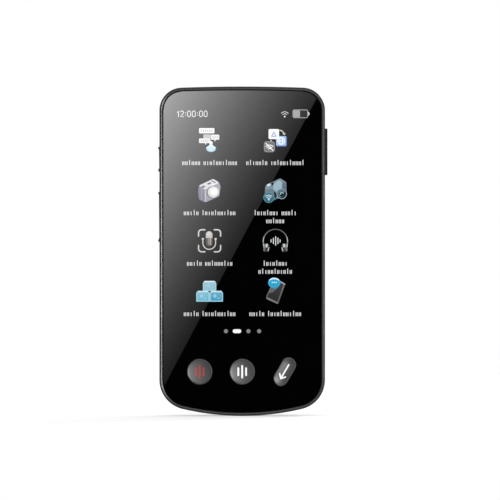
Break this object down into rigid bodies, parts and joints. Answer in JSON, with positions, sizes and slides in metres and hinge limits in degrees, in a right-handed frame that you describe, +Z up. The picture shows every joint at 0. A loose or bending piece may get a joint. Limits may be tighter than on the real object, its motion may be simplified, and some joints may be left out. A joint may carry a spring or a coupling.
{
  "type": "handheld translator",
  "caption": "Slab-shaped handheld translator with a glass touch screen, talk keys under it, side keys, a sliding card tray, rear cameras and a speaker grille.",
  "frame": {"origin": "centre of the flat back of the housing, half way up and half way across", "axes": "+Z up along the body towards the ports, +Y out of the back, the screen faces -Y, +X towards the card tray"},
  "size_m": [0.0763, 0.014, 0.148],
  "materials": {
    "frame_plastic": "satin",
    "cover_glass": "polished black-backed glass",
    "display": "laminated liquid crystal panel",
    "backlight": "satin film stack",
    "ribbon": "flexible circuit, satin",
    "silicone": "soft matte",
    "circuit_board": "solder mask, satin",
    "steel": "satin",
    "key_cap": "satin grey paint",
    "chassis": "stamped, satin",
    "connector_black": "satin",
    "battery": "laminated pouch, satin",
    "rear_cover": "fine matte texture",
    "bezel": "fine satin",
    "camera_window": "polished black glass",
    "camera_barrel": "satin black",
    "flash": "phosphor",
    "light_guide": "clear moulded",
    "mesh": "woven, matte",
    "foam": "closed-cell foam",
    "side_key": "satin black",
    "tray_metal": "satin",
    "tray_plastic": "satin"
  },
  "bodies": {
    "housing": {"front_frame": "frame_plastic", "cover_glass": "cover_glass", "display_panel": "display", "backlight_unit": "backlight", "display_flex": "ribbon", "key_pad": "silicone", "key_board": "circuit_board", "key_dome_1": "steel", "key_dome_2": "steel", "key_dome_3": "steel", "chassis_plate": "chassis", "main_board": "circuit_board", "processor_shield": "steel", "radio_shield": "steel", "usb_c_port": "steel", "audio_jack": "connector_black", "microphone_boot": "silicone", "top_microphone": "steel", "battery": "battery", "battery_protection_board": "circuit_board", "battery_lead": "ribbon", "board_flex": "ribbon", "speaker_mesh": "mesh", "speaker_gasket": "foam", "speaker_driver": "connector_black", "speaker_cradle": "connector_black", "side_key_board": "circuit_board", "side_key_bracket": "steel", "power_switch": "steel", "volume_up_switch": "steel", "volume_down_switch": "steel", "card_socket": "steel", "rear_cover": "rear_cover", "camera_bezel": "bezel", "camera_window": "camera_window", "camera_module_upper": "camera_barrel", "camera_module_lower": "camera_barrel", "flash_led": "flash", "flash_light_guide": "light_guide", "frame_screw_1": "steel", "board_screw_1": "steel", "frame_screw_2": "steel", "board_screw_2": "steel", "frame_screw_3": "steel", "board_screw_3": "steel", "frame_screw_4": "steel", "board_screw_4": "steel", "cradle_screw_1": "steel", "cradle_screw_2": "steel"},
    "talk_key_left": {"talk_key_left": "key_cap"},
    "talk_key_right": {"talk_key_right": "key_cap"},
    "back_key": {"back_key": "key_cap"},
    "power_key": {"power_key": "side_key"},
    "volume_key": {"volume_key": "side_key"},
    "card_tray": {"card_tray": "tray_plastic", "tray_face_plate": "tray_metal", "tray_seal": "silicone"},
    "eject_rod": {"eject_rod": "steel"},
    "eject_lever": {"eject_lever": "steel"}
  },
  "joints": [
    {"name": "talk_key_left_press", "type": "slide", "parent": "housing", "child": "talk_key_left", "axis": [0, 1, 0], "range_m": [0, 0.00035], "stiffness_N_per_m": 1500},
    {"name": "talk_key_right_press", "type": "slide", "parent": "housing", "child": "talk_key_right", "axis": [0, 1, 0], "range_m": [0, 0.00035], "stiffness_N_per_m": 1500},
    {"name": "back_key_press", "type": "slide", "parent": "housing", "child": "back_key", "axis": [0, 1, 0], "range_m": [0, 0.00035], "stiffness_N_per_m": 1500},
    {"name": "power_key_press", "type": "slide", "parent": "housing", "child": "power_key", "axis": [1, 0, 0], "range_m": [0, 0.00035], "stiffness_N_per_m": 1500},
    {"name": "volume_key_rock", "type": "hinge", "parent": "housing", "child": "volume_key", "pos_m": [-0.03505, -0.0067, 0.0155], "axis": [0, 1, 0], "range_deg": [-1.5, 1.5], "stiffness_Nm_per_rad": 0.5},
    {"name": "card_tray_slide", "type": "slide", "parent": "housing", "child": "card_tray", "axis": [1, 0, 0], "range_m": [0, 0.03]},
    {"name": "eject_rod_push", "type": "slide", "parent": "housing", "child": "eject_rod", "axis": [-1, 0, 0], "range_m": [0, 0.0012]},
    {"name": "eject_lever_swing", "type": "hinge", "parent": "housing", "child": "eject_lever", "pos_m": [0.01245, -0.00645, 0.0468], "axis": [0, 1, 0], "range_deg": [0, 7]}
  ],
  "couplings": [
    {"joint": "eject_lever_swing", "follows": "eject_rod_push", "rad_per_m": 100}
  ]
}
